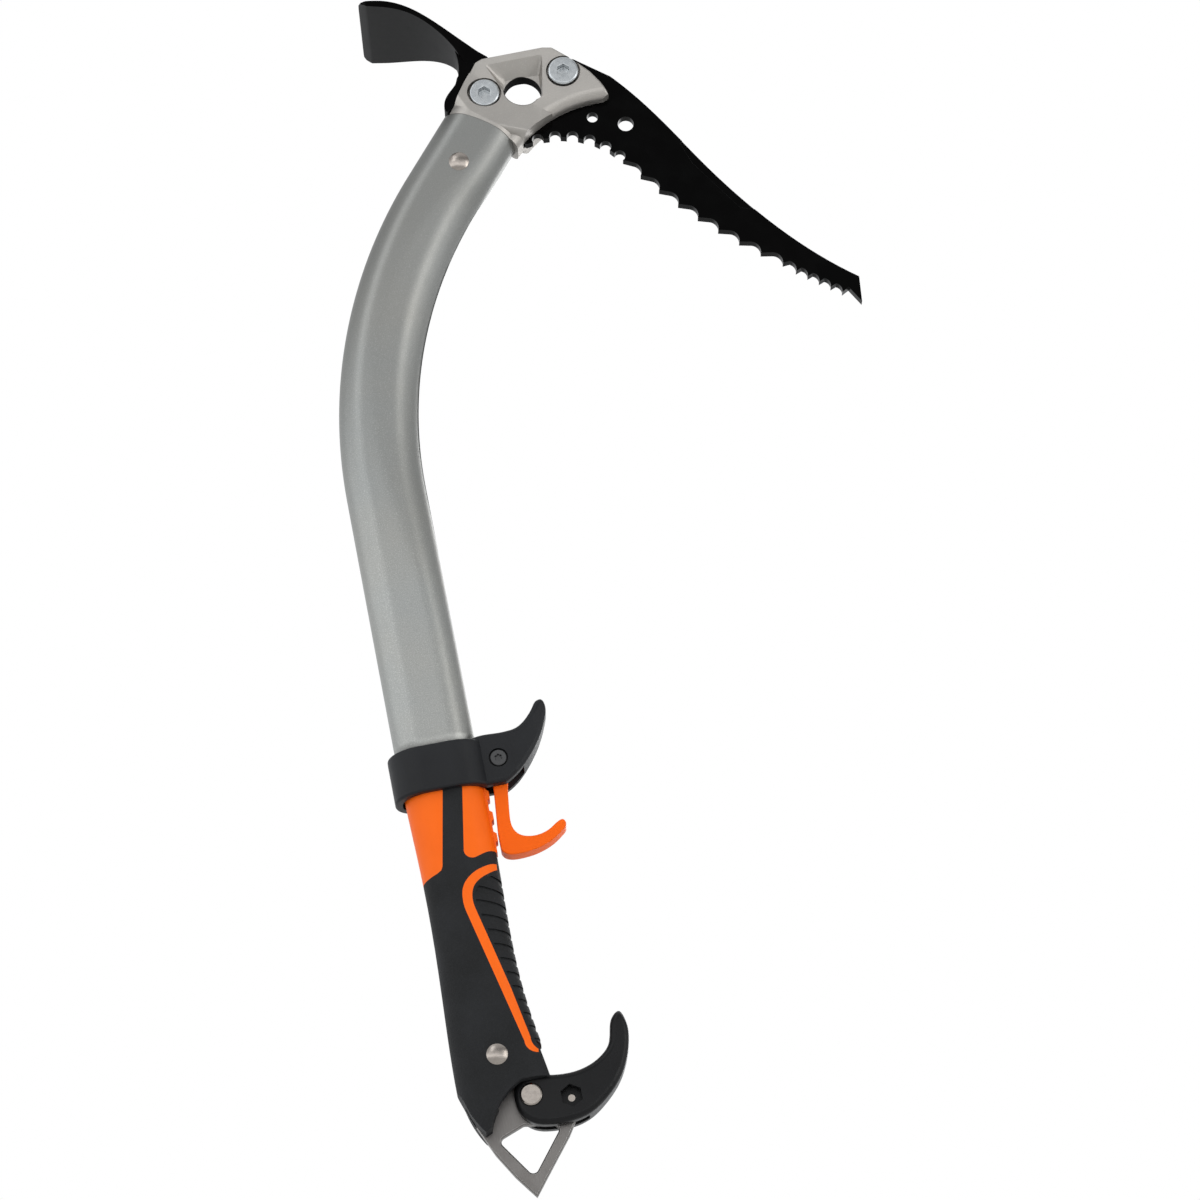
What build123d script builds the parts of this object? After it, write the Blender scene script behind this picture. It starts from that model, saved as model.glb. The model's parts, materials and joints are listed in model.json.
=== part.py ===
from build123d import *
import os
from math import asin, cos, degrees, hypot, radians, sin

# Technical ice axe. Millimetres, +Z up with the shaft upright, +X towards the pick, +Y through the head.
# The origin is the centre of the round eye in the head. "Near" is the -Y side, where the bolt heads are.
# Side views are drawn in three frames: WORLD (x, z), and UPPER and HANDLE (u across the shaft,
# v up along it), which lean with the upper and the lower run of the bent shaft and meet at its bend point.

# ---- Shaft ----
BEND_X = -68.9
BEND_Z = -110.7
UPPER_TILT = 28.65
LOWER_TILT = 11.0
BEND_RADIUS = 201.0
SHAFT_WIDTH = 33.1
SHAFT_DEPTH = 24.0
SHAFT_CORNER = 11.0
SHAFT_WALL = 1.8
NECK_TOP = -184.5
NECK_BOTTOM = -192.5
CORE_WIDTH = 25.4
CORE_DEPTH = 18.6
CORE_CORNER = 8.0
SHAFT_END = -320.5
SADDLE_CROWN = 107.8
SADDLE_RADIUS = 60.0
SADDLE_SHIFT = 5.0
LIP_TOP = 109.2

# ---- Head ----
CHEEK = 8.5
EYE_RADIUS = 8.0
EYE_WEB = 3.0
SLOT_PLAY = 0.25
TANG_LENGTH = 35.5
CHEEK_EDGE = 0.8
UNDER_EDGE = 4.5

# ---- Blades ----
PICK_THICK = 4.0
ADZE_TONGUE = 6.0
ADZE_HALF_WIDTH = 26.5

# ---- Head bolts, M8 low-head cap screws with hexagon nuts ----
PICK_BOLT_AT = (17.4, 8.4)
ADZE_BOLT_AT = (-16.1, -2.2)
BOLT_SHANK = 4.0
BOLT_HOLE = 4.2
BOLT_HEAD = 6.5
BOLT_HEAD_HEIGHT = 5.0
BOLT_HEAD_TOP = 9.6
BOLT_SEAT_RADIUS = 7.3
SOCKET_ACROSS = 5.0
SOCKET_DEPTH = 3.0
NUT_ACROSS = 13.0
NUT_SEAT = 4.3
NUT_TOP = 8.8

# ---- Rivets ----
RIVET_SHANK = 2.5
RIVET_HEAD = 4.2
RIVET_DOME = 1.3
HEAD_RIVET_AT = (1.4, 86.1)
SPIKE_RIVET_AT = (1.3, -317.5)
HEAD_RIVET_FACE = 12.0
SPIKE_RIVET_FACE = 13.42

# ---- Grip ----
RUBBER_WALL = 1.4
RACK_HALF_WIDTH = 3.6
RACK_ROOT = 16.8
RACK_TIP = 17.9
RACK_PITCH = 9.0
RACK_TOP = -194.0
RACK_BOTTOM = -233.8
RIB_COUNT = 13
RIB_TOP = -243.9
RIB_PITCH = 5.83
RIB_LEAN = -0.4
RIB_TURN = 0.046
RIB_GROOVE = 0.9
RIB_DEPTH = 0.8
RIB_STEP = 2.6
RIB_STEP_DEPTH = 0.35

# ---- Spike ----
SPIKE_THICK = 4.0
TANG_HALF_WIDTH = 10.0
TANG_TOP = -296.0

# ---- Hand rest ----
PIVOT_AT = (11.5, -334.6)
PIVOT_PIN = 2.5
PIVOT_PLAY = 0.05
PIVOT_HEAD = 4.3
REST_HALF = 8.0
REST_EDGE = 2.4
FORK_HALF = 2.6
FORK_REACH = 24.0
BAY_REACH = 21.6
WASHER_THICK = 0.5
WASHER_RADIUS = 5.6
STOP_PIN_AT = (27.0, -337.8)
STOP_PIN = 1.4
HEX_POCKET_ACROSS = 8.0
HEX_POCKET_DEPTH = 5.0
FOLD_ANGLE = 45.0
DETENT_REACH = 8.3
DETENT_ANGLE = 7.0
DETENT_BALL = 1.25

# ---- Sliding collar and its trigger ----
COLLAR_TOP = -187.5
COLLAR_BOTTOM = -206.8
COLLAR_PLAY = 0.35
COLLAR_WALL = 3.0
HOOK_HALF = 9.0
HOOK_EDGE = 1.8
TRIGGER_HALF = 4.2
TRIGGER_EDGE = 0.5
TRIGGER_PLAY = 0.4
TRIGGER_PIVOT = (24.2, -196.5)
TRIGGER_BOSS = 4.4
SCREW_SHANK = 2.0
SCREW_HEAD = 3.4
SCREW_SEAT = 3.9


# ---------------------------------------------------------------- frames and small helpers

def leaning_frame(tilt):
    """Side-view frame at the bend point whose v axis leans towards the adze by tilt degrees."""
    lean = radians(tilt)
    return Plane(origin=(BEND_X, 0, BEND_Z), x_dir=(cos(lean), 0, sin(lean)), z_dir=(0, -1, 0))


WORLD = Plane(origin=(0, 0, 0), x_dir=(1, 0, 0), z_dir=(0, -1, 0))
UPPER = leaning_frame(-UPPER_TILT)
HANDLE = leaning_frame(LOWER_TILT)
NEAR = -1
FAR = 1


def place(frame, across, along, depth=0.0):
    """Point of a side-view frame, at a depth along +Y."""
    return frame.origin + frame.x_dir * across + frame.y_dir * along + Vector(0, depth, 0)


def prism(frame, outline, low, high):
    """Side-view outline extruded from depth low to depth high."""
    face = Pos(0, high, 0) * (frame * outline)
    return extrude(face, amount=high - low, dir=(0, -1, 0))


def rim_edges(body, depth):
    """Edges that lie wholly deeper than depth on either side of the middle plane."""
    return [edge for edge in body.edges()
            if min(abs((edge @ 0).Y), abs((edge @ 0.5).Y), abs((edge @ 1).Y)) > depth
            and abs((edge @ 0).Y - (edge @ 1).Y) < 4.5]


def spans(curve, count=16):
    """A long curve cut into short spans, which keep the faces beside it exact."""
    edge = curve.edge()
    return [edge.trim(index / count, (index + 1) / count) for index in range(count)]


def polygon(points, radius=0):
    """Filled outline, drawn anticlockwise so that it joins cleanly with others."""
    turn = sum(a[0] * b[1] - b[0] * a[1] for a, b in zip(points, points[1:] + points[:1]))
    shape = Polygon(*(points if turn > 0 else points[::-1]), align=None)
    return fillet(shape.vertices(), radius) if radius else shape


def disc(at, radius):
    return Pos(*at) * Circle(radius)


def rod(frame, at, radius, low, high):
    """Round bar along Y."""
    return prism(frame, disc(at, radius), low, high)


def hexagon(at, across):
    """Hexagon with a corner up, given across its flats."""
    return Pos(*at) * Rot(0, 0, 30) * RegularPolygon(across / 2, 6, major_radius=False)


def section(frame, along, left, right, half_depth, corner):
    """Rounded oblong across the shaft."""
    centre = place(frame, (left + right) / 2, along)
    plane = Plane(origin=centre, x_dir=frame.x_dir, z_dir=frame.y_dir)
    return plane * RectangleRounded(right - left, 2 * half_depth, corner)


def polar(centre, radius, angle):
    """Point at a radius and an angle in degrees, anticlockwise from the u axis."""
    return (centre[0] + radius * cos(radians(angle)), centre[1] + radius * sin(radians(angle)))


def dome(frame, at, face, side, radius, height):
    """Low domed rivet head that stands on a side face."""
    ball_radius = (radius ** 2 + height ** 2) / (2 * height)
    centre = place(frame, *at, side * (face + height - ball_radius))
    ball = Pos(*centre) * Sphere(ball_radius)
    low, high = sorted((side * face, side * (face + height)))
    return ball & rod(frame, at, radius, low, high)


# ---------------------------------------------------------------- shaft

def shaft_form(inset):
    """Bent oval bar with a slimmer core for the grip, smaller all round by inset."""
    wide = SHAFT_WIDTH / 2 - inset
    deep = SHAFT_DEPTH / 2 - inset
    core_wide = CORE_WIDTH / 2 - inset
    core_deep = CORE_DEPTH / 2 - inset
    top = SADDLE_CROWN + 6 + inset
    path = FilletPolyline(place(UPPER, 0, top), place(HANDLE, 0, 0), place(HANDLE, 0, NECK_TOP),
                          radius=BEND_RADIUS)
    bar = sweep(section(UPPER, top, -wide, wide, deep, SHAFT_CORNER - inset), path=path)
    neck = loft([section(HANDLE, NECK_TOP, -wide, wide, deep, SHAFT_CORNER - inset),
                 section(HANDLE, NECK_BOTTOM, -core_wide, core_wide, core_deep, CORE_CORNER - inset)])
    core = extrude(section(HANDLE, NECK_BOTTOM, -core_wide, core_wide, core_deep, CORE_CORNER - inset),
                   amount=NECK_BOTTOM - SHAFT_END + inset, dir=-HANDLE.y_dir)
    return bar + neck + core


def above_saddle(shift=0.0):
    """Everything above the arched seam between the shaft and the head."""
    crown = SADDLE_CROWN + shift
    reach = 30
    drop = SADDLE_RADIUS - (SADDLE_RADIUS ** 2 - reach ** 2) ** 0.5
    left = SADDLE_SHIFT - reach
    right = SADDLE_SHIFT + reach
    arch = ThreePointArc((left, crown - drop), (SADDLE_SHIFT, crown), (right, crown - drop))
    sides = Polyline((right, crown - drop), (80, crown - drop), (80, 200), (-80, 200),
                     (-80, crown - drop), (left, crown - drop))
    return prism(UPPER, make_face([arch, sides]), -60, 60)


def shaft_tube():
    tube = shaft_form(0) - shaft_form(SHAFT_WALL) - above_saddle()
    tube -= rod(UPPER, HEAD_RIVET_AT, RIVET_SHANK, -30, 30)
    return tube - rod(HANDLE, SPIKE_RIVET_AT, RIVET_SHANK, -30, 30)


# ---------------------------------------------------------------- head

HEAD_OUTLINE = [(-31.5, -14.0), (-28.8, -8.1), (-24.3, 3.7), (-20.2, 12.6), (-17.4, 14.4),
                (8.3, 19.9), (12.4, 19.9), (21.3, 14.4), (28.9, 8.4), (33.5, 3.3), (36.8, -1.6),
                (34.2, -3.4)]
HEAD_HOLLOW = [(34.2, -3.4), (12.2, -12.1), (-3.0, -28.4)]
EYE_POCKET = [(-15.9, 11.2), (8.4, 16.4), (8.7, -3.4), (1.2, -8.3), (-2.7, -7.9), (-8.6, -0.5)]
EYE_FLOOR = [(-7.6, 6.2), (6.9, 9.3), (8.2, -2.6), (1.2, -8.1), (-2.7, -7.7), (-8.3, -0.3)]


def head_side_view():
    rim = Polyline(*HEAD_OUTLINE)
    hollow = ThreePointArc(*HEAD_HOLLOW)
    closing = Polyline(HEAD_HOLLOW[-1], (-20.0, -34.0), HEAD_OUTLINE[0])
    view = make_face([rim, hollow, closing])
    corners = [corner for corner in view.vertices() if corner.Y > -5 and -25 < corner.X < 30]
    return fillet(corners, 1.6)


def head_skirt():
    """Oval collar over the shaft seam that flattens into the two cheeks."""
    wide = SHAFT_WIDTH / 2 + 0.2
    deep = SHAFT_DEPTH / 2 + 0.1
    ring = section(UPPER, 96, -wide, wide, deep, SHAFT_CORNER)
    neck = section(UPPER, LIP_TOP, -wide + 0.3, wide - 0.3, deep - 0.3, SHAFT_CORNER - 0.3)
    cheeks = section(UPPER, 126, -40, 60, CHEEK - 0.02, 3)
    return extrude(ring, amount=LIP_TOP - 96, dir=UPPER.y_dir) + loft([neck, cheeks])


def eye_recess(side):
    """Sloping pocket round the eye in one cheek, down to the web."""
    mouth = WORLD.offset(CHEEK + 0.01) if side == NEAR else WORLD.offset(-CHEEK - 0.01)
    floor = WORLD.offset(EYE_WEB) if side == NEAR else WORLD.offset(-EYE_WEB)
    return loft([mouth * polygon(EYE_POCKET, 1.0), floor * polygon(EYE_FLOOR, 1.0)])


def pick_root():
    """Rear part of the pick plate, which the head's front slot takes."""
    plate = polygon([(12.2, 3.5), (8.0, -8.0), (-0.4, -22.0), (14.0, -34.0), (60.0, -30.0), (60.0, 30.0),
                     (13.4, 24.0), (9.6, 9.0)])
    return plate + disc(PICK_BOLT_AT, 7.4)


def adze_root():
    """Tongue of the adze, which the head's rear slot takes."""
    tongue = polygon([(-22.0, 20.0), (-15.0, 4.1), (-16.0, -8.5), (-31.0, -11.0), (-44.0, -8.0),
                      (-40.0, 20.0)])
    return tongue + disc(ADZE_BOLT_AT, 6.3)


def bolt_seats(at):
    """Through hole, counterbore and nut pocket of one head bolt."""
    return (rod(WORLD, at, BOLT_HOLE, -20, 20)
            + rod(WORLD, at, BOLT_SEAT_RADIUS, -20, BOLT_HEAD_HEIGHT - BOLT_HEAD_TOP)
            + prism(WORLD, hexagon(at, NUT_ACROSS + 0.2), NUT_SEAT, 20))


def head_cheeks():
    """Block for the two cheeks: a wide round along its hollow underside, small ones elsewhere."""
    block = prism(WORLD, head_side_view(), -CHEEK, CHEEK)
    rims = [edge for edge in block.edges() if abs(abs(edge.center().Y) - CHEEK) < 0.01]
    hollow = [edge for edge in rims if edge.geom_type == GeomType.CIRCLE and edge.length > 20]
    block = fillet(hollow, UNDER_EDGE)
    rims = [edge for edge in block.edges() if abs(abs(edge.center().Y) - CHEEK) < 0.01
            and not (edge.geom_type == GeomType.CIRCLE and edge.length > 20)]
    return fillet(rims, CHEEK_EDGE)


def head_tang():
    """Hollow plug that reaches down inside the shaft."""
    foot = SADDLE_CROWN - TANG_LENGTH
    plug = extrude(section(UPPER, foot, -14.6, 14.6, 10.1, 9.0), amount=TANG_LENGTH, dir=UPPER.y_dir)
    hollow = extrude(section(UPPER, foot - 1, -9.5, 9.5, 5.5, 5.0), amount=16, dir=UPPER.y_dir)
    return plug - hollow


def head():
    skirt = prism(WORLD, head_side_view(), -20, 20) & head_skirt()
    body = (head_cheeks() + skirt) & above_saddle()
    body += head_tang()
    body -= prism(WORLD, offset(pick_root(), SLOT_PLAY, kind=Kind.INTERSECTION),
                  -PICK_THICK / 2 - 0.05, PICK_THICK / 2 + 0.05)
    body -= prism(WORLD, offset(adze_root(), SLOT_PLAY, kind=Kind.INTERSECTION),
                  -ADZE_TONGUE / 2 - 0.05, ADZE_TONGUE / 2 + 0.05)
    body -= rod(WORLD, (0, 0), EYE_RADIUS, -20, 20)
    body -= eye_recess(NEAR)
    body -= eye_recess(FAR)
    body -= bolt_seats(PICK_BOLT_AT)
    body -= bolt_seats(ADZE_BOLT_AT)
    return body - rod(UPPER, HEAD_RIVET_AT, RIVET_SHANK, -30, 30)


# ---------------------------------------------------------------- pick and adze

ROOT_TEETH = ThreePointArc((2.2, -23.0), (20.0, -19.7), (42.9, -30.4))
ROOT_GAPS = 6
LARGE_TEETH = ThreePointArc((42.9, -30.4), (76.5, -58.6), (110.1, -78.3))
LARGE_GAPS = 8
SMALL_TEETH = Line((115.6, -82.0), (134.8, -91.7))
SMALL_GAPS = 4


def tooth_tips(line, gaps):
    return [line @ (index / gaps) for index in range(gaps + 1)]


def hooked_gap(tip, following, slope, rise):
    """Long flank up from one tip and a hollow arc down to the next."""
    step = following - tip
    inward = Vector(-step.Y, step.X, 0)
    shoulder = tip + step * slope + inward * rise
    hollow = tip + step * (slope + 0.32) + inward * rise
    return [Line(tip, shoulder), ThreePointArc(shoulder, hollow, following)]


def round_gap(tip, following):
    """Flat tooth tip, then a half-round notch."""
    step = following - tip
    inward = Vector(-step.Y, step.X, 0)
    flat_end = tip + step * 0.36
    return [Line(tip, flat_end), ThreePointArc(flat_end, tip + step * 0.68 + inward * 0.42, following)]


def pick_outline():
    edges = [Line((-0.4, -22.0), ROOT_TEETH @ 0)]
    tips = tooth_tips(ROOT_TEETH, ROOT_GAPS)
    for tip, following in zip(tips, tips[1:]):
        edges += round_gap(tip, following)
    tips = tooth_tips(LARGE_TEETH, LARGE_GAPS)
    for tip, following in zip(tips, tips[1:]):
        edges += hooked_gap(tip, following, 0.45, 0.24)
    edges += hooked_gap(LARGE_TEETH @ 1, SMALL_TEETH @ 0, 0.3, 0.36)
    tips = tooth_tips(SMALL_TEETH, SMALL_GAPS)
    for tip, following in zip(tips, tips[1:]):
        edges += hooked_gap(tip, following, 0.26, 0.44)
    edges.append(Polyline(SMALL_TEETH @ 1, (137.6, -89.4), (143.1, -95.9), (142.1, -84.4)))
    edges.append(Spline((142.1, -84.4), (103.7, -57.9), (79.0, -33.8), (55.0, -7.0), (37.5, 9.2)))
    edges.append(Polyline((37.5, 9.2), (21.6, 17.4), (14.0, 17.4), (10.0, 8.4), (12.2, 3.5), (8.0, -8.0),
                          (-0.4, -22.0)))
    return make_face(edges)


def leaf_mark():
    """Long drop-shaped recess forged into each face of the pick."""
    upper = Spline((67.3, -22.7), (72.5, -21.7), (77.8, -26.0), (99.5, -53.5),
                   tangents=[(0.35, 1.0), (0.62, -0.78)])
    lower = Polyline((99.5, -53.5), (92.5, -52.6), (72.5, -32.0), (67.3, -22.7))
    return make_face([upper, lower])


def pick():
    half = PICK_THICK / 2
    plate = prism(WORLD, pick_outline(), -half, half)
    plate -= rod(WORLD, PICK_BOLT_AT, BOLT_HOLE - 0.1, -9, 9)
    plate -= rod(WORLD, (29.9, -10.3), 2.35, -9, 9)
    plate -= rod(WORLD, (44.1, -13.4), 3.35, -9, 9)
    plate -= prism(WORLD, leaf_mark(), -9, -half + 0.45)
    return plate - prism(WORLD, leaf_mark(), half - 0.45, 9)


def adze_blade():
    """Curved blade, widest at its cutting edge, ground to a bevel underneath."""
    top = Spline((-69.6, 31.6), (-62.0, 32.7), (-44.9, 30.6), (-24.5, 22.0), (-14.6, 15.5),
                 tangents=[(1, 0.3), (0.85, -0.52)])
    under = Spline((-23.0, 12.0), (-28.8, 18.2), (-42.6, 27.3), (-66.0, 29.9),
                   tangents=[(-0.7, 0.4), (-1, 0.02)])
    root = Polyline((-14.6, 15.5), (-17.6, 14.75), (-20.45, 12.7), (-21.9, 9.4), (-23.0, 12.0))
    side = make_face(spans(top, 4) + [root] + spans(under, 4) + [Line((-66.0, 29.9), (-69.6, 31.6))])
    width = ADZE_HALF_WIDTH
    near_rim = Spline((-60.0, -width + 0.6), (-44.0, -20.0), (-30.0, -10.6), (-14.0, -7.0),
                      tangents=[(1, 0.12), (1, 0)])
    far_rim = mirror(near_rim, Plane.XZ)
    plan_edges = spans(near_rim, 4) + spans(far_rim, 4) + [Line((-14.0, -7.0), (-14.0, 7.0))]
    nose = [Polyline((-60.0, -width + 0.6), (-66.6, -width + 0.1), (-68.5, -width + 0.9),
                     (-69.5, -width + 2.9), (-70.2, 0), (-69.5, width - 2.9), (-68.5, width - 0.9),
                     (-66.6, width - 0.1), (-60.0, width - 0.6))]
    plan = extrude(make_face(plan_edges + nose), amount=80)
    return prism(WORLD, side, -30, 30) & plan


def adze_stem():
    """Heavy neck behind the head, as deep as the cheeks."""
    left = Spline((-29.2, 19.0), (-27.2, 11.0), (-28.6, 2.2), (-32.6, -4.6), (-32.9, -9.4), (-31.6, -10.8),
                  tangents=[(0.4, -1), (1, -0.4)])
    right = Polyline((-31.6, -10.8), (-29.8, -8.1), (-24.55, 3.6), (-20.45, 12.7), (-17.6, 14.75),
                     (-15.0, 15.5), (-24.0, 21.0), (-29.2, 19.0))
    return prism(WORLD, make_face(spans(left, 4) + [right]), -CHEEK + 0.6, CHEEK - 0.6)


def adze():
    half = ADZE_TONGUE / 2
    tongue = polygon([(-23.0, 15.0), (-15.0, 3.7), (-16.0, -8.2), (-29.9, -10.3), (-31.5, -9.6),
                      (-28.0, 8.0)]) + disc(ADZE_BOLT_AT, 6.2)
    body = adze_blade() + adze_stem() + prism(WORLD, tongue, -half, half)
    return (body & above_saddle(0.1)) - rod(WORLD, ADZE_BOLT_AT, BOLT_HOLE - 0.1, -9, 9)


def head_bolt(at):
    seat = BOLT_HEAD_HEIGHT - BOLT_HEAD_TOP
    cap = rod(WORLD, at, BOLT_HEAD, -BOLT_HEAD_TOP, seat)
    cap = chamfer(cap.edges().group_by(Axis.Y)[0], 0.6)
    shank = rod(WORLD, at, BOLT_SHANK, seat, NUT_TOP + 0.2)
    return cap + shank - prism(WORLD, hexagon(at, SOCKET_ACROSS), -20, SOCKET_DEPTH - BOLT_HEAD_TOP)


def head_nut(at):
    nut = prism(WORLD, hexagon(at, NUT_ACROSS), NUT_SEAT, NUT_TOP)
    return nut - rod(WORLD, at, BOLT_SHANK, -20, 20)


def through_rivet(frame, at, face):
    """Domed at both ends."""
    shank = rod(frame, at, RIVET_SHANK, -face, face)
    return shank + dome(frame, at, face, NEAR, RIVET_HEAD, RIVET_DOME) + dome(
        frame, at, face, FAR, RIVET_HEAD, RIVET_DOME)


# ---------------------------------------------------------------- grip

# Stations down the grip: height, left side, right side, half depth.
GRIP_STATIONS = [(-192.5, -15.8, 16.2, 12.0), (-209.0, -15.8, 16.2, 12.0), (-241.0, -14.8, 16.3, 12.5),
                 (-270.0, -15.0, 15.8, 13.0), (-300.0, -16.2, 17.5, 13.35), (-322.0, -16.8, 21.0, 13.35),
                 (-350.0, -15.0, 23.0, 12.6)]
GRIP_CORNER = 11.0


def grip_form(inset):
    """Whole grip as one bar, smaller all round by inset."""
    return loft([section(HANDLE, height, left + inset, right - inset, half - inset, GRIP_CORNER - inset)
                 for height, left, right, half in GRIP_STATIONS])


def grip_side_view(inset):
    """Side view of the grip: it closes round the spike at the rear and clears the hand rest in front."""
    rear = Spline((-14.6 + inset, -333.0), (-12.2 + inset, -340.3), (-8.6, -346.8 + inset / 2))
    foot = Line((-8.6, -346.8 + inset / 2), (-6.0, -345.6 + inset))
    hollow = ThreePointArc((-6.0, -345.6 + inset), (0.9, -334.3 + inset), (9.0, -328.9 + inset))
    front = Polyline((9.0, -328.9 + inset), (40.0, -328.4 + inset), (40.0, -180.0), (-40.0, -180.0),
                     (-40.0, -320.0), (-18.0 + inset, -322.0))
    return make_face([rear, foot, hollow, front, Spline((-18.0 + inset, -322.0), (-14.6 + inset, -333.0),
                                                        tangents=[(0.05, -1), (0.3, -1)])])


def rear_window():
    """Bare sleeve on the adze side."""
    return polygon([(-30.0, -180.0), (4.6, -180.0), (-6.0, -238.0), (-6.8, -239.5), (-8.6, -240.4),
                    (-30.0, -245.4)])


def front_window():
    """Bare sleeve on the pick side, behind the trigger."""
    side = Polyline((30.0, -180.0), (11.9, -180.0), (3.6, -232.4))
    corner = ThreePointArc((3.6, -232.4), (4.4, -235.7), (7.4, -236.7))
    wave = Spline((7.4, -236.7), (9.8, -235.8), (12.8, -234.6), (16.0, -233.9))
    return make_face([side, corner, wave, Polyline((16.0, -233.9), (30.0, -233.9), (30.0, -180.0))])


def stripe():
    """Narrow bare line that frames the ribbed panel."""
    outer = spans(Spline((15.4, -239.5), (11.1, -240.6), (6.1, -242.6), (2.6, -245.1), (0.3, -248.5),
                         (-0.5, -252.5), (0.2, -259.5), tangents=[(-1, -0.1), (0.23, -1)]), 6)
    outer.append(Line((0.2, -259.5), (12.8, -314.2)))
    outer.append(ThreePointArc((12.8, -314.2), (14.1, -317.7), (17.5, -318.9)))
    inner = [Line((17.5, -318.9), (17.7, -317.5))]
    inner.append(ThreePointArc((17.7, -317.5), (16.0, -315.6), (15.5, -312.6)))
    inner += [Line((15.5, -312.6), (11.7, -292.3)), Line((11.7, -292.3), (4.2, -259.8))]
    inner += spans(Spline((4.2, -259.8), (3.3, -253.9), (4.8, -248.5), (7.0, -246.3), (11.0, -244.1),
                          (15.2, -242.0), tangents=[(-0.23, 1), (1, 0.5)]), 6)
    return make_face(outer + inner + [Line((15.2, -242.0), (15.4, -239.5))])


def rib_bands(height):
    """Slanting bands, height deep, that start at the foot of each rib and turn level down the panel."""
    bands = Sketch()
    for index in range(RIB_COUNT):
        lean = RIB_LEAN + RIB_TURN * index
        rear = RIB_TOP - RIB_PITCH * index - 10 * lean
        front = rear + 26 * lean
        bands += polygon([(0, rear), (26, front), (26, front - height), (0, rear - height)])
    return bands


def rib_panel():
    """Outline of the finger panel, just inside the bare line."""
    return polygon([(24.0, -241.0), (16.0, -243.1), (11.6, -245.2), (8.0, -247.2), (5.8, -249.4),
                    (4.7, -251.8), (4.5, -254.4), (5.3, -259.6), (12.7, -292.2), (16.5, -312.2),
                    (17.6, -316.0), (24.0, -317.0)])


def rib_cut(height, depth):
    """Bands of the finger panel that are sunk by depth."""
    return prism(HANDLE, rib_bands(height) & rib_panel(), -20, 20) - grip_form(depth)


def hand_rest_bay(half):
    """Slot in the lower front corner of the grip, where the fork of the hand rest swings."""
    return prism(HANDLE, disc(PIVOT_AT, BAY_REACH) & polygon([(-2.0, -380.0), (60.0, -380.0), (60.0, -300.0),
                                                          (14.2, -300.0), (14.2, -320.5),
                                                          (-2.0, -320.5)]), -half, half)


def spike_pocket():
    """Space that the spike plate takes in the foot of the grip."""
    return prism(HANDLE, polygon([(-20.0, -352.0), (-10.5, SHAFT_END), (30.0, SHAFT_END), (30.0, -352.0)]),
                 -SPIKE_THICK / 2, SPIKE_THICK / 2)


def grip_rack():
    """Row of catch teeth down the front of the sleeve."""
    spine = polygon([(10.0, RACK_TOP), (RACK_ROOT, RACK_TOP), (RACK_ROOT, RACK_BOTTOM),
                     (10.0, RACK_BOTTOM)])
    teeth = Sketch()
    for index in range(4):
        foot = RACK_BOTTOM + 3.8 + RACK_PITCH * index
        teeth += polygon([(14.0, foot + 0.3), (RACK_ROOT, foot + 0.3), (RACK_TIP, foot + 1.0),
                          (RACK_TIP, foot + 4.0), (RACK_ROOT, foot + 4.9), (14.0, foot + 4.9)])
    return prism(HANDLE, spine + teeth, -RACK_HALF_WIDTH, RACK_HALF_WIDTH)


def windows():
    return prism(HANDLE, rear_window() + front_window() + stripe(), -20, 20)


def grip_sleeve():
    inner = grip_form(RUBBER_WALL) & prism(HANDLE, grip_side_view(RUBBER_WALL), -20, 20)
    proud = grip_form(0) & prism(HANDLE, grip_side_view(0), -20, 20) & windows()
    sleeve = inner + proud + grip_rack()
    sleeve -= shaft_form(0)
    sleeve -= prism(HANDLE, polygon([(-40, SHAFT_END + 0.01), (40, SHAFT_END + 0.01), (40, -360),
                                     (-40, -360)]), -20, 20)
    sleeve -= hand_rest_bay(REST_HALF + 0.4)
    return sleeve - rod(HANDLE, SPIKE_RIVET_AT, RIVET_SHANK, -30, 30)


def grip_rubber():
    outer = grip_form(0) & prism(HANDLE, grip_side_view(0), -20, 20)
    inner = grip_form(RUBBER_WALL) & prism(HANDLE, polygon([(-40, SHAFT_END), (40, SHAFT_END), (40, -180),
                                                            (-40, -180)]), -20, 20)
    rubber = outer - inner - windows()
    rubber -= rib_cut(RIB_GROOVE, RIB_DEPTH)
    rubber -= rib_cut(RIB_STEP, RIB_STEP_DEPTH)
    rubber -= hand_rest_bay(REST_HALF + 0.4)
    rubber -= spike_pocket()
    return rubber - rod(HANDLE, SPIKE_RIVET_AT, RIVET_SHANK, -30, 30)


# ---------------------------------------------------------------- spike

def spike_outline():
    """Tang, pivot boss, shoulder for the stop pin, and the pointed foot."""
    stop_reach = hypot(STOP_PIN_AT[0] - PIVOT_AT[0], STOP_PIN_AT[1] - PIVOT_AT[1])
    stop_line = degrees(asin((STOP_PIN_AT[1] - PIVOT_AT[1]) / stop_reach))
    stop_line -= degrees(asin((STOP_PIN + 0.03) / stop_reach))
    shoulder_in = polar(PIVOT_AT, 10.6, stop_line)
    shoulder_out = polar(PIVOT_AT, 19.4, stop_line)
    body = polygon([(-10.0, TANG_TOP), (TANG_HALF_WIDTH, TANG_TOP), (TANG_HALF_WIDTH, -323.0),
                    shoulder_in, shoulder_out, (27.2, -346.3), (23.5, -352.0), (14.2, -363.7),
                    (6.6, -373.4), (-0.2, -364.2), (-6.2, -354.2), (-11.6, -342.0), (-10.0, -325.0)])
    return body + disc(PIVOT_AT, 10.6)


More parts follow.
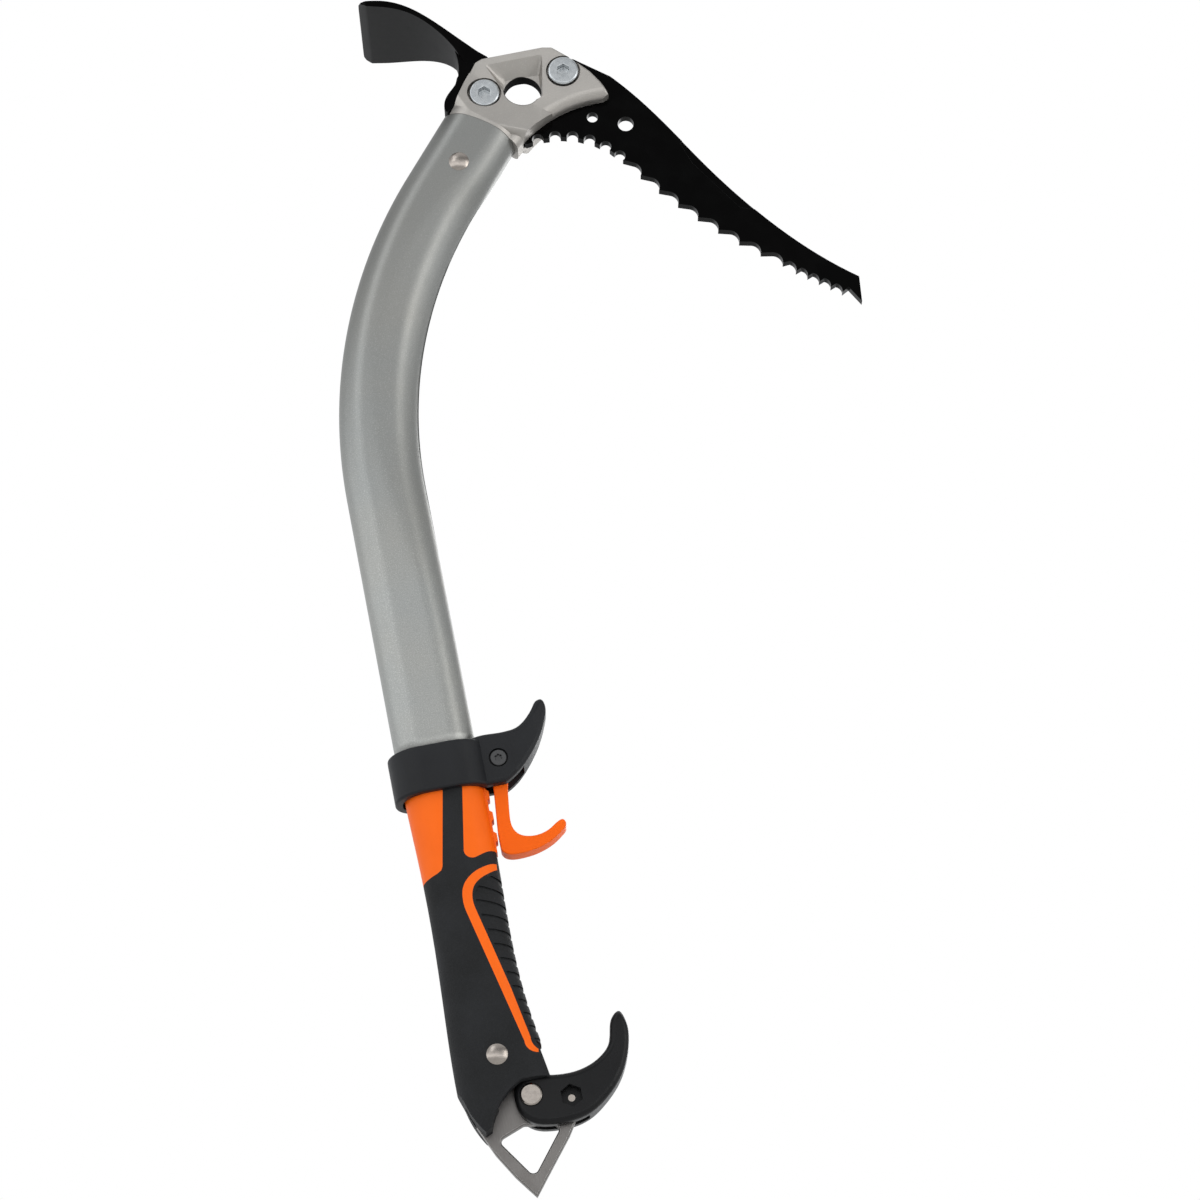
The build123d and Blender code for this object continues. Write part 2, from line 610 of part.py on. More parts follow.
def spike():
    half = SPIKE_THICK / 2
    clip_hole = polygon([(-4.4, -348.8), (6.6, -344.6), (21.6, -347.0), (7.0, -365.6)], 2.2)
    plate = prism(HANDLE, spike_outline() - clip_hole, -half, half)
    edges = [edge for edge in plate.edges()
             if abs(abs(edge.center().Y) - half) < 0.01 and edge.center().Z < -455]
    plate = chamfer(edges, 0.5)
    plate -= rod(HANDLE, PIVOT_AT, PIVOT_PIN, -9, 9)
    for angle in (DETENT_ANGLE, DETENT_ANGLE + FOLD_ANGLE):
        centre = place(HANDLE, *polar(PIVOT_AT, DETENT_REACH, angle), half + 0.8)
        plate -= Pos(*centre) * Sphere(DETENT_BALL + 0.1)
    return plate - rod(HANDLE, SPIKE_RIVET_AT, RIVET_SHANK, -9, 9)


def tang_spacer(side):
    """Half-round filler that centres the spike's tang in the shaft."""
    wide = CORE_WIDTH / 2 - SHAFT_WALL
    deep = CORE_DEPTH / 2 - SHAFT_WALL
    filler = extrude(section(HANDLE, SHAFT_END, -wide, wide, deep, CORE_CORNER - SHAFT_WALL),
                     amount=TANG_TOP - SHAFT_END, dir=HANDLE.y_dir)
    depths = (-20, -SPIKE_THICK / 2) if side == NEAR else (SPIKE_THICK / 2, 20)
    half = filler & prism(HANDLE, polygon([(-30, -340), (30, -340), (30, -280), (-30, -280)]), *depths)
    return half - rod(HANDLE, SPIKE_RIVET_AT, RIVET_SHANK, -30, 30)


# ---------------------------------------------------------------- hand rest

REST_OUTLINE = [(6.6, -329.4), (12.0, -326.9), (20.0, -327.7), (28.2, -328.3), (35.4, -326.8),
                (41.6, -323.4), (45.4, -319.0), (47.1, -312.5), (49.4, -308.0), (51.7, -306.7),
                (53.5, -309.6), (53.9, -317.2), (51.7, -325.3), (46.7, -334.4), (39.8, -341.3),
                (33.6, -345.4), (27.2, -347.3), (18.6, -347.5), (10.3, -345.4), (6.2, -341.0), (4.9, -334.6)]


def hand_rest():
    outline = make_face(spans(Spline(*REST_OUTLINE, periodic=True)))
    body = prism(HANDLE, outline, -REST_HALF, REST_HALF)
    taper = polygon([(0, -REST_HALF), (27, -REST_HALF), (44, -6.0), (56, -3.8), (56, 3.8), (44, 6.0),
                     (27, REST_HALF), (0, REST_HALF)])
    slope = Plane(origin=place(HANDLE, 0, -370), x_dir=HANDLE.x_dir, z_dir=HANDLE.y_dir)
    body &= extrude(slope * taper, amount=90)
    body = fillet(rim_edges(body, 3.0), REST_EDGE)
    body -= hand_rest_fork()
    body -= rod(HANDLE, PIVOT_AT, PIVOT_PIN + PIVOT_PLAY, -20, 20)
    body -= rod(HANDLE, PIVOT_AT, PIVOT_HEAD + 0.4, -20, -REST_HALF + 1.2)
    body -= rod(HANDLE, PIVOT_AT, PIVOT_HEAD + 0.4, REST_HALF - 1.2, 20)
    body -= prism(HANDLE, hexagon(STOP_PIN_AT, HEX_POCKET_ACROSS), -20, HEX_POCKET_DEPTH - REST_HALF)
    body -= rod(HANDLE, STOP_PIN_AT, STOP_PIN, -20, REST_HALF - 1.5)
    detent = polar(PIVOT_AT, DETENT_REACH, DETENT_ANGLE)
    return body - rod(HANDLE, detent, DETENT_BALL + 0.05, 0, 6.4)


def hand_rest_fork():
    """Slot that straddles the spike plate at every fold angle."""
    reach = disc(PIVOT_AT, FORK_REACH)
    return prism(HANDLE, reach, -FORK_HALF, FORK_HALF)


def hand_rest_pin():
    head_face = REST_HALF - 1.1
    pin = rod(HANDLE, PIVOT_AT, PIVOT_PIN, -head_face, head_face)
    near_head = rod(HANDLE, PIVOT_AT, PIVOT_HEAD, -head_face - 1.9, -head_face)
    near_head = chamfer(near_head.edges().group_by(Axis.Y)[0], 0.5)
    far_head = rod(HANDLE, PIVOT_AT, PIVOT_HEAD, head_face, head_face + 1.9)
    far_head = chamfer(far_head.edges().group_by(Axis.Y)[-1], 0.5)
    return pin + near_head + far_head


def pivot_washer(side):
    ring = disc(PIVOT_AT, WASHER_RADIUS) - disc(PIVOT_AT, PIVOT_PIN + PIVOT_PLAY)
    low, high = sorted((side * SPIKE_THICK / 2, side * (SPIKE_THICK / 2 + WASHER_THICK)))
    return prism(HANDLE, ring, low, high)


def pivot_washers():
    return Compound([pivot_washer(NEAR), pivot_washer(FAR)])


def stop_pin():
    return rod(HANDLE, STOP_PIN_AT, STOP_PIN, HEX_POCKET_DEPTH - REST_HALF, REST_HALF - 1.5)


def detent_ball():
    at = polar(PIVOT_AT, DETENT_REACH, DETENT_ANGLE)
    return Pos(*place(HANDLE, *at, SPIKE_THICK / 2 + 0.08 + DETENT_BALL)) * Sphere(DETENT_BALL)


def coil(radius, wire, pitch, turns):
    """Round-wire coil along Z from the origin."""
    path = Helix(pitch=pitch, height=pitch * turns, radius=radius)
    profile = Plane(origin=path @ 0, z_dir=path % 0) * Circle(wire)
    return sweep(profile, path=path)


def detent_spring():
    at = polar(PIVOT_AT, DETENT_REACH, DETENT_ANGLE)
    start = SPIKE_THICK / 2 + 0.08 + 2 * DETENT_BALL + 0.18
    spring = coil(0.95, 0.17, 0.52, 3)
    return Plane(origin=place(HANDLE, *at, start), z_dir=(0, 1, 0)) * spring


# ---------------------------------------------------------------- collar and trigger

HOOK_TOP = [(14.0, -186.6), (20.0, -185.6), (28.1, -185.8), (33.6, -184.6), (38.0, -181.2),
            (41.6, -176.6), (43.8, -173.9), (45.6, -173.6), (46.9, -176.0), (46.0, -181.6),
            (42.4, -189.4), (36.9, -197.3), (31.0, -203.3), (25.6, -206.8)]


def collar():
    centre_right = SHAFT_WIDTH / 2 + COLLAR_PLAY
    band_half = SHAFT_DEPTH / 2 + COLLAR_PLAY + COLLAR_WALL
    height = COLLAR_TOP - COLLAR_BOTTOM
    band = extrude(section(HANDLE, COLLAR_BOTTOM, -centre_right - COLLAR_WALL, centre_right + COLLAR_WALL,
                           band_half, 13.5), amount=height, dir=HANDLE.y_dir)
    ends = band.edges().filter_by(Axis(place(HANDLE, 0, 0), HANDLE.y_dir), reverse=True)
    band = fillet([edge for edge in ends if edge.length > 5], 1.2)
    hook_edges = spans(Spline(*HOOK_TOP), 8) + [Polyline(HOOK_TOP[-1], (14.0, -206.8), HOOK_TOP[0])]
    hook = prism(HANDLE, make_face(hook_edges), -HOOK_HALF, HOOK_HALF)
    taper = polygon([(10, -HOOK_HALF), (30, -HOOK_HALF), (41, -6.4), (48, -4.0), (48, 4.0), (41, 6.4),
                     (30, HOOK_HALF), (10, HOOK_HALF)])
    slope = Plane(origin=place(HANDLE, 0, -220), x_dir=HANDLE.x_dir, z_dir=HANDLE.y_dir)
    hook &= extrude(slope * taper, amount=60)
    hook = fillet(rim_edges(hook, 3.0), HOOK_EDGE)
    bore = extrude(section(HANDLE, COLLAR_BOTTOM - 5, -centre_right, centre_right,
                           SHAFT_DEPTH / 2 + COLLAR_PLAY, SHAFT_CORNER + COLLAR_PLAY),
                   amount=height + 15, dir=HANDLE.y_dir)
    body = band + hook - bore - trigger_bay()
    body -= rod(HANDLE, TRIGGER_PIVOT, SCREW_SHANK + 0.05, -30, 30)
    body -= rod(HANDLE, TRIGGER_PIVOT, SCREW_SEAT, -30, 1.8 - HOOK_HALF)
    return body - prism(HANDLE, hexagon(TRIGGER_PIVOT, 7.2), HOOK_HALF - 2.6, 30)


def trigger_bay():
    """Slot up into the collar for the trigger's arm and its swing."""
    half = TRIGGER_HALF + TRIGGER_PLAY
    swing = polygon([(15.0, -191.0), (29.2, -191.0), (36.5, -206.0), (36.5, -212.0), (15.0, -212.0)], 0)
    return prism(HANDLE, swing, -half, half)


TRIGGER_FRONT = [(28.5, -198.0), (26.2, -205.6), (25.2, -212.5), (24.4, -219.7), (24.5, -224.3),
                 (26.3, -227.7), (29.9, -229.5), (34.5, -229.7), (39.5, -228.0), (43.3, -225.6),
                 (45.1, -225.3), (46.0, -227.0), (43.9, -229.9), (40.2, -232.5), (36.0, -234.4),
                 (31.6, -235.6), (27.3, -236.1), (23.4, -236.1), (20.2, -235.2), (18.5, -233.0)]


def trigger():
    front = spans(Spline(*TRIGGER_FRONT))
    back = Polyline(TRIGGER_FRONT[-1], (18.5, -225.0), (20.2, -206.0), (20.0, -198.0), (28.5, -198.0))
    body = prism(HANDLE, make_face(front + [back]), -TRIGGER_HALF, TRIGGER_HALF)
    body = fillet(rim_edges(body, 3.0), TRIGGER_EDGE)
    body += prism(HANDLE, disc(TRIGGER_PIVOT, TRIGGER_BOSS), -TRIGGER_HALF, TRIGGER_HALF)
    body = body - rod(HANDLE, TRIGGER_PIVOT, SCREW_SHANK + 0.05, -30, 30)
    return body - rod(HANDLE, TRIGGER_PIVOT, 3.3, TRIGGER_HALF - 2.2, 30)


def trigger_screw():
    seat = 1.8 - HOOK_HALF
    cap = rod(HANDLE, TRIGGER_PIVOT, SCREW_HEAD, seat - 1.7, seat)
    cap = chamfer(cap.edges().group_by(Axis.Y)[0], 0.3)
    cap -= prism(HANDLE, six_lobe(TRIGGER_PIVOT, 1.7), -30, seat - 0.5)
    return cap + rod(HANDLE, TRIGGER_PIVOT, SCREW_SHANK, seat, HOOK_HALF - 0.2)


def six_lobe(at, radius):
    """Star-shaped driver recess."""
    star = disc(at, radius * 0.72)
    for index in range(6):
        star += disc(polar(at, radius * 0.68, 60 * index + 30), radius * 0.28)
    return star


def trigger_nut():
    nut = prism(HANDLE, hexagon(TRIGGER_PIVOT, 7.0), HOOK_HALF - 2.6, HOOK_HALF - 0.3)
    return nut - rod(HANDLE, TRIGGER_PIVOT, SCREW_SHANK, -20, 20)


def trigger_spring():
    spring = coil(2.6, 0.25, 0.62, 3)
    return Plane(origin=place(HANDLE, *TRIGGER_PIVOT, TRIGGER_HALF - 1.8), z_dir=(0, 1, 0)) * spring


# ---------------------------------------------------------------- writing

PARTS = {
    "head": head,
    "pick": pick,
    "adze": adze,
    "pick_bolt": lambda: head_bolt(PICK_BOLT_AT),
    "adze_bolt": lambda: head_bolt(ADZE_BOLT_AT),
    "pick_bolt_nut": lambda: head_nut(PICK_BOLT_AT),
    "adze_bolt_nut": lambda: head_nut(ADZE_BOLT_AT),
    "shaft_tube": shaft_tube,
    "head_rivet": lambda: through_rivet(UPPER, HEAD_RIVET_AT, HEAD_RIVET_FACE),
    "spike": spike,
    "spike_rivet": lambda: through_rivet(HANDLE, SPIKE_RIVET_AT, SPIKE_RIVET_FACE),
    "tang_spacer_near": lambda: tang_spacer(NEAR),
    "tang_spacer_far": lambda: tang_spacer(FAR),
    "grip_sleeve": grip_sleeve,
    "grip_rubber": grip_rubber,
    "hand_rest": hand_rest,
    "hand_rest_pin": hand_rest_pin,
    "pivot_washers": pivot_washers,
    "stop_pin": stop_pin,
    "detent_ball": detent_ball,
    "detent_spring": detent_spring,
    "collar": collar,
    "trigger": trigger,
    "trigger_screw": trigger_screw,
    "trigger_nut": trigger_nut,
    "trigger_spring": trigger_spring,
}

os.makedirs("parts", exist_ok=True)
for name, make in PARTS.items():
    export_step(make(), f"parts/{name}.step")
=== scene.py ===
import json
import math

import bmesh
import bpy
from mathutils import Euler, Matrix, Vector

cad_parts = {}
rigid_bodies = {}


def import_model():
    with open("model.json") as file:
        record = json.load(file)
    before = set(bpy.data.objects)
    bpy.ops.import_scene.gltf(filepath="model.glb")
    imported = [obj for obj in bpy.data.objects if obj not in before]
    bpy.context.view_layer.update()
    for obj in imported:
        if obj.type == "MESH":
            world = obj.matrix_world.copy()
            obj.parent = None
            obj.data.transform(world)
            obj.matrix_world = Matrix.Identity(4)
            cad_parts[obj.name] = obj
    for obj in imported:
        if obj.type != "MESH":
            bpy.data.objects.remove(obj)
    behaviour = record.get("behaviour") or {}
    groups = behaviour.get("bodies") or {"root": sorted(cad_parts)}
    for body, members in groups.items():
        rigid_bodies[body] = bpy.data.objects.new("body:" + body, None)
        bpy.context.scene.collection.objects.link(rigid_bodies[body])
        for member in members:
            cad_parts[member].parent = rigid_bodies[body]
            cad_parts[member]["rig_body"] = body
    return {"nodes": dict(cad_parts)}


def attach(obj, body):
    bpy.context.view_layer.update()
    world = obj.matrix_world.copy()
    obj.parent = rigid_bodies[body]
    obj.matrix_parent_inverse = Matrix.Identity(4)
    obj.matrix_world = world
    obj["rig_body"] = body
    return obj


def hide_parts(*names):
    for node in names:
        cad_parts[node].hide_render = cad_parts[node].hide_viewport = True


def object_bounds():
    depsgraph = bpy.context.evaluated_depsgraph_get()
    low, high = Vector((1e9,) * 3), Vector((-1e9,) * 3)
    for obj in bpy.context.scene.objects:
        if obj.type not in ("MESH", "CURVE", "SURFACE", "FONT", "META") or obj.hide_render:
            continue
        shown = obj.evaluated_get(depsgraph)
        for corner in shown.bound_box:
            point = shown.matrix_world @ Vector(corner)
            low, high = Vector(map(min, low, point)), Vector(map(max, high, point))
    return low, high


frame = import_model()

# Technical ice axe in metres, +Z up, +X towards the pick, +Y through the head, origin at the head's eye.
# The near side is -Y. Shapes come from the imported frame. Where the real piece has softer or richer
# surfaces than its CAD node, a new mesh stands for that node.

CAD_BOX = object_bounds()
NODES = frame["nodes"]
MM = 0.001

# ---------------------------------------------------------------- side-view frames of the bent shaft
# Both straight runs of the shaft meet at BEND. Across and along are directions of a leaning run, seen from
# the near side. The sections stay a few hundredths of a millimetre inside those of the CAD tube.

BEND = Vector((-68.9 * MM, 0, -110.7 * MM))
UPPER_TILT = -28.65
LOWER_TILT = 11.0
BEND_TURN = LOWER_TILT - UPPER_TILT
BEND_RADIUS = 201.0 * MM
BEND_TANGENT = BEND_RADIUS * math.tan(math.radians(BEND_TURN / 2))
BEND_STEPS = 48
SHAFT_HALF_WIDTH = 16.5 * MM
SHAFT_HALF_DEPTH = 11.96 * MM
SHAFT_CORNER = 10.96 * MM
SHAFT_WALL = 1.8 * MM
CORE_HALF_WIDTH = 12.65 * MM
CORE_HALF_DEPTH = 9.25 * MM
CORE_CORNER = 7.95 * MM
NECK_TOP = -184.5 * MM
NECK_BOTTOM = -192.5 * MM
SHAFT_END = -320.4 * MM
SADDLE_CROWN = 107.75 * MM
SADDLE_RADIUS = 60.0 * MM
SADDLE_SHIFT = 5.0 * MM
SADDLE_DROP = 8.0 * MM
SECOND_ROW_DROP = 11.0 * MM
UPPER_ROWS = 12
LOWER_ROW_PITCH = 3.0 * MM
LOWER_ROWS = 37
NECK_ROWS = 4


def leaning(tilt):
    """Across and along directions of a side-view frame that leans by tilt degrees."""
    a = math.radians(tilt)
    return Vector((math.cos(a), 0, math.sin(a))), Vector((-math.sin(a), 0, math.cos(a)))


UPPER = leaning(UPPER_TILT)
HANDLE = leaning(LOWER_TILT)


def place(axes, across, along, depth=0.0):
    """Point at the given distances from BEND in one of the two leaning frames."""
    return BEND + axes[0] * across + axes[1] * along + Vector((0, depth, 0))


# ---------------------------------------------------------------- materials

class Look:
    """One procedural material. Patterns lie in the piece's own space, in millimetres.

    The own space of every piece of the axe's main body is the frame of the whole axe."""

    def __init__(self, name, colour, roughness, metallic=0.0, specular=0.5):
        self.material = bpy.data.materials.new(name)
        self.material.use_nodes = True
        self.tree = self.material.node_tree
        self.shader = next(n for n in self.tree.nodes if n.type == "BSDF_PRINCIPLED")
        self.shader.inputs["Metallic"].default_value = metallic
        self.shader.inputs["Specular IOR Level"].default_value = specular
        self.colour = self.constant(colour)
        self.rough = self.number(roughness)
        self.normal = None

    def node(self, kind, **settings):
        """A new node of the material with the given settings."""
        made = self.tree.nodes.new(kind)
        for key, value in settings.items():
            setattr(made, key, value)
        return made

    def feed(self, socket, value):
        """Links an output to the socket, or sets the socket to a number."""
        if isinstance(value, bpy.types.NodeSocket):
            self.tree.links.new(value, socket)
        else:
            socket.default_value = value

    def constant(self, colour):
        """A colour as an output, for patterns to be blended over."""
        made = self.node("ShaderNodeRGB")
        made.outputs[0].default_value = (*colour, 1)
        return made.outputs[0]

    def number(self, value):
        """A number as an output, for patterns to be added to."""
        made = self.node("ShaderNodeValue")
        made.outputs[0].default_value = value
        return made.outputs[0]

    def space(self, tilt=0.0, stretch=(1, 1, 1)):
        """Object coordinates in millimetres, turned so that Z runs along the leaning piece."""
        coords = self.node("ShaderNodeTexCoord")
        turn = self.node("ShaderNodeMapping", vector_type="POINT")
        turn.inputs["Rotation"].default_value = (0, math.radians(tilt), 0)
        turn.inputs["Scale"].default_value = (1000, 1000, 1000)
        squeeze = self.node("ShaderNodeMapping", vector_type="POINT")
        squeeze.inputs["Scale"].default_value = stretch
        self.tree.links.new(coords.outputs["Object"], turn.inputs["Vector"])
        self.tree.links.new(turn.outputs[0], squeeze.inputs["Vector"])
        return squeeze.outputs[0]

    def noise(self, size, detail=4.0, tilt=0.0, stretch=(1, 1, 1), roughness=0.55):
        """Noise whose blotches are about size millimetres across."""
        made = self.node("ShaderNodeTexNoise")
        made.inputs["Scale"].default_value = 1.0 / size
        made.inputs["Detail"].default_value = detail
        made.inputs["Roughness"].default_value = roughness
        self.tree.links.new(self.space(tilt, stretch), made.inputs["Vector"])
        return made.outputs["Fac"]

    def cells(self, size):
        """Distance from the middle of the nearest cell. Cells are about size millimetres across."""
        made = self.node("ShaderNodeTexVoronoi", feature="F1")
        made.inputs["Scale"].default_value = 1.0 / size
        self.tree.links.new(self.space(), made.inputs["Vector"])
        return made.outputs["Distance"]

    def span(self, value, low, high, to_low=0.0, to_high=1.0):
        """Stretches the range from low to high onto the one from to_low to to_high, and clamps there."""
        made = self.node("ShaderNodeMapRange", clamp=True)
        self.feed(made.inputs["Value"], value)
        for key, number in (("From Min", low), ("From Max", high), ("To Min", to_low), ("To Max", to_high)):
            made.inputs[key].default_value = number
        return made.outputs["Result"]

    def maths(self, operation, a, b):
        """Result of one operation on outputs or numbers."""
        made = self.node("ShaderNodeMath", operation=operation)
        self.feed(made.inputs[0], a)
        self.feed(made.inputs[1], b)
        return made.outputs[0]

    def attribute(self, name):
        """A mark that the mesh carries on its faces."""
        return self.node("ShaderNodeAttribute", attribute_name=name).outputs["Fac"]

    def along(self, axis):
        """Distance in millimetres along one axis of the piece's own space."""
        made = self.node("ShaderNodeSeparateXYZ")
        self.tree.links.new(self.space(), made.inputs[0])
        return made.outputs[axis]

    def from_axis(self, x=0.0, z=0.0):
        """Distance in millimetres from a line along Y. By default it is the axis of the head's eye."""
        made = self.node("ShaderNodeVectorMath", operation="LENGTH")
        flat = self.node("ShaderNodeVectorMath", operation="MULTIPLY_ADD")
        flat.inputs[1].default_value = (1, 0, 1)
        flat.inputs[2].default_value = (-x, 0, -z)
        self.tree.links.new(self.space(), flat.inputs[0])
        self.tree.links.new(flat.outputs[0], made.inputs[0])
        return made.outputs["Value"]

    def tint(self, mask, colour, amount=1.0):
        """Blends colour in where mask is 1."""
        made = self.node("ShaderNodeMix", data_type="RGBA")
        self.feed(made.inputs["Factor"], self.maths("MULTIPLY", mask, amount))
        self.tree.links.new(self.colour, made.inputs["A"])
        made.inputs["B"].default_value = (*colour, 1)
        self.colour = made.outputs["Result"]

    def dull(self, mask, amount):
        """Adds amount to the roughness where mask is 1."""
        self.rough = self.maths("ADD", self.rough, self.maths("MULTIPLY", mask, amount))

    def relief(self, height, depth):
        """Bump of the given depth in millimetres."""
        made = self.node("ShaderNodeBump")
        made.inputs["Distance"].default_value = depth * MM
        made.inputs["Strength"].default_value = 1.0
        self.tree.links.new(height, made.inputs["Height"])
        if self.normal is not None:
            self.tree.links.new(self.normal, made.inputs["Normal"])
        self.normal = made.outputs[0]

    def done(self):
        """Links the blended patterns to the shader and returns the material."""
        self.tree.links.new(self.colour, self.shader.inputs["Base Color"])
        self.tree.links.new(self.span(self.rough, 0, 1), self.shader.inputs["Roughness"])
        if self.normal is not None:
            self.tree.links.new(self.normal, self.shader.inputs["Normal"])
        return self.material


EYE_RADIUS = 8.0

# Heights between which painted shade makes the shaft darker towards the head.
SHAFT_SHADE_HEIGHTS = (-230, -60)

# The adze's hollow face is ground beside its cutting edge, wholly before the first x, not past the second.
ADZE_GROUND = (-66.8, -65.6)

# The lowest groove of the ribs reaches the sleeve at this x and z, and painted shade darkens the sleeve
# there.
RIB_FOOT = (9.1, -416.2)
RIB_FOOT_RADIUS = 1.8
RIB_FOOT_SHADE_COLOUR = (0.009, 0.009, 0.0095)


def anodised(name):
    """Bead-blasted, anodised shaft alloy: fine sparkle, faint drawing marks, painted shade darker towards
    the head.
    """
    look = Look(name, (0.31, 0.31, 0.292), 0.36, metallic=0.85)
    look.tint(look.span(look.noise(45, 3), 0.35, 0.7), (0.285, 0.298, 0.295), 0.7)
    look.tint(look.span(look.noise(0.4, 2), 0.5, 0.72), (0.56, 0.56, 0.54), 0.4)
    dark_grains = look.span(look.noise(0.33, 2, stretch=(1.1, 0.9, 1)), 0.3, 0.45, 1, 0)
    look.tint(dark_grains, (0.19, 0.19, 0.185), 0.4)
    # Painted shade: the colour darkens towards the head.
    look.tint(look.span(look.along("Z"), *SHAFT_SHADE_HEIGHTS), (0.16, 0.16, 0.152), 0.6)
    scuffs = look.span(look.noise(0.5, 5, LOWER_TILT, (1.6, 1.6, 0.05), 0.7), 0.67, 0.75)
    look.tint(scuffs, (0.55, 0.55, 0.53), 0.2)
    look.dull(look.noise(9, 4), 0.08)
    look.dull(scuffs, -0.1)
    look.relief(look.noise(0.32, 3), 0.02)
    look.relief(look.noise(0.9, 3, LOWER_TILT, (1, 1, 0.06)), 0.01)
    return look.done()


def forged(name):
    """Tumbled satin light alloy of the head, brighter along its edges from wear, with painted shade that
    blackens the inside of the eye.
    """
    look = Look(name, (0.385, 0.365, 0.34), 0.42, metallic=0.8)
    look.tint(look.span(look.noise(14, 4), 0.4, 0.7), (0.335, 0.318, 0.297), 0.5)
    look.tint(look.span(look.noise(0.5, 3), 0.52, 0.75), (0.6, 0.58, 0.55), 0.3)
    nicks = look.span(look.noise(1.6, 6, 20, (1, 1, 0.2), 0.75), 0.66, 0.73)
    look.tint(nicks, (0.25, 0.24, 0.23), 0.3)
    look.tint(look.attribute("edge"), (0.6, 0.59, 0.57), 0.4)
    # Painted shade: the inside of the eye is coloured black and made matt.
    eye_shade = look.span(look.from_axis(), EYE_RADIUS + 0.05, EYE_RADIUS + 0.3, 1, 0)
    look.tint(eye_shade, (0.004, 0.004, 0.004))
    look.dull(look.noise(5, 5), 0.1)
    look.dull(look.attribute("edge"), -0.1)
    look.dull(eye_shade, 0.6)
    look.relief(look.noise(0.45, 4), 0.03)
    look.relief(look.noise(3, 4), 0.03)
    return look.done()


def black_coat(name):
    """Glossy black coat on blade steel, lighter on the edges from wear and painted highlight, finely
    scratched, grey in the adze's hollow.
    """
    look = Look(name, (0.0006, 0.0005, 0.0005), 0.14, specular=0.04)
    look.tint(look.span(look.noise(8, 5), 0.45, 0.75), (0.002, 0.002, 0.002), 0.6)
    hollow = look.attribute("hollow")
    look.tint(hollow, (0.026, 0.026, 0.0265))
    ground = look.maths("MULTIPLY", hollow, look.span(look.along("X"), *ADZE_GROUND, 1, 0))
    look.tint(ground, (0.05, 0.05, 0.051), 0.8)
    look.dull(hollow, 0.26)
    edge = look.attribute("edge")
    # Lighter edges: wear of the coat together with painted highlight.
    wear_and_highlight = look.maths("MULTIPLY", edge, look.span(look.noise(3.5, 5), 0.3, 0.6, 0.45, 1.0))
    look.tint(wear_and_highlight, (0.04, 0.04, 0.041), 0.6)
    scratches = look.span(look.noise(0.7, 6, 48, (1.5, 1.5, 0.05), 0.75), 0.68, 0.74)
    look.tint(scratches, (0.03, 0.03, 0.03), 0.3)
    look.dull(look.noise(6, 5), 0.1)
    look.dull(scratches, 0.12)
    look.relief(look.noise(1.4, 3), 0.012)
    look.relief(look.noise(9, 2), 0.04)
    return look.done()


def zinc(name):
    """Bright zinc plate, mottled, with fine light grains."""
    look = Look(name, (0.5, 0.52, 0.53), 0.2, metallic=1.0)
    look.tint(look.span(look.noise(2.5, 5), 0.4, 0.7), (0.34, 0.36, 0.38), 0.7)
    look.tint(look.span(look.noise(0.4, 4), 0.55, 0.8), (0.85, 0.86, 0.88), 0.4)
    look.dull(look.noise(1.3, 5), 0.16)
    look.relief(look.noise(0.25, 4), 0.015)
    return look.done()


def polished(name, colour=(0.34, 0.305, 0.275), roughness=0.18):
    """Peened, slightly uneven steel of rivets, pins, balls and springs."""
    look = Look(name, colour, roughness, metallic=1.0)
    look.tint(look.span(look.noise(1.8, 5), 0.45, 0.7), tuple(c * 0.7 for c in colour), 0.5)
    look.dull(look.noise(0.8, 5), 0.14)
    look.relief(look.noise(1.5, 4), 0.05)
    look.relief(look.noise(0.3, 3), 0.01)
    return look.done()


def brushed(name):
    """Stainless spike plate, brushed along the shaft, bright on its ground edges."""
    look = Look(name, (0.16, 0.15, 0.143), 0.36, metallic=1.0)
    grain = look.noise(0.22, 5, LOWER_TILT, (1, 1, 0.035), 0.65)
    look.tint(look.span(grain, 0.35, 0.7), (0.25, 0.24, 0.23), 0.5)
    look.tint(look.span(look.noise(9, 4), 0.45, 0.7), (0.13, 0.12, 0.113), 0.5)
    look.tint(look.attribute("edge"), (0.8, 0.79, 0.77), 0.7)
    look.dull(grain, 0.12)
    look.dull(look.attribute("edge"), -0.12)
    look.relief(grain, 0.02)
    return look.done()


def moulded(name, colour, second, roughness, grain=0.55, depth=0.035, specular=0.5, shade_spot=None):
    """Moulded plastic in two mixed colours, with a fine spark-eroded texture and slight rub marks.

    Grain is the size of the texture and depth its relief. A spot of painted shade is given by its middle's
    x and z."""
    look = Look(name, colour, roughness, specular=specular)
    look.tint(look.span(look.noise(16, 4), 0.4, 0.7), second, 0.5)
    look.tint(look.attribute("edge"), tuple(min(1.0, c * 1.6 + 0.02) for c in colour), 0.5)
    rubs = look.span(look.noise(1.2, 6, 30, (1.4, 1.4, 0.12), 0.75), 0.66, 0.74)
    look.tint(rubs, tuple(min(1.0, c * 1.5 + 0.03) for c in colour), 0.35)
    # Painted shade: a dark spot where the groove ends.
    if shade_spot:
        spot = look.span(look.from_axis(*shade_spot), RIB_FOOT_RADIUS, RIB_FOOT_RADIUS + 0.3, 1, 0)
        look.tint(spot, RIB_FOOT_SHADE_COLOUR)
    look.dull(look.noise(4, 5), 0.1)
    look.relief(look.noise(grain, 3), depth)
    look.relief(look.noise(grain * 0.4, 2), depth * 0.3)
    return look.done()


def rubber(name):
    """Dark grip rubber with a pebbled skin that is dustier in places."""
    look = Look(name, (0.0085, 0.009, 0.0095), 0.58, specular=0.2)
    look.tint(look.span(look.noise(20, 5), 0.4, 0.72), (0.016, 0.017, 0.019), 0.7)
    look.tint(look.span(look.cells(0.6), 0.0, 0.5, 1, 0), (0.022, 0.023, 0.026), 0.35)
    look.dull(look.noise(7, 4), 0.14)
    look.relief(look.span(look.cells(0.55), 0.0, 0.6), 0.05)
    look.relief(look.noise(2.4, 4), 0.06)
    return look.done()


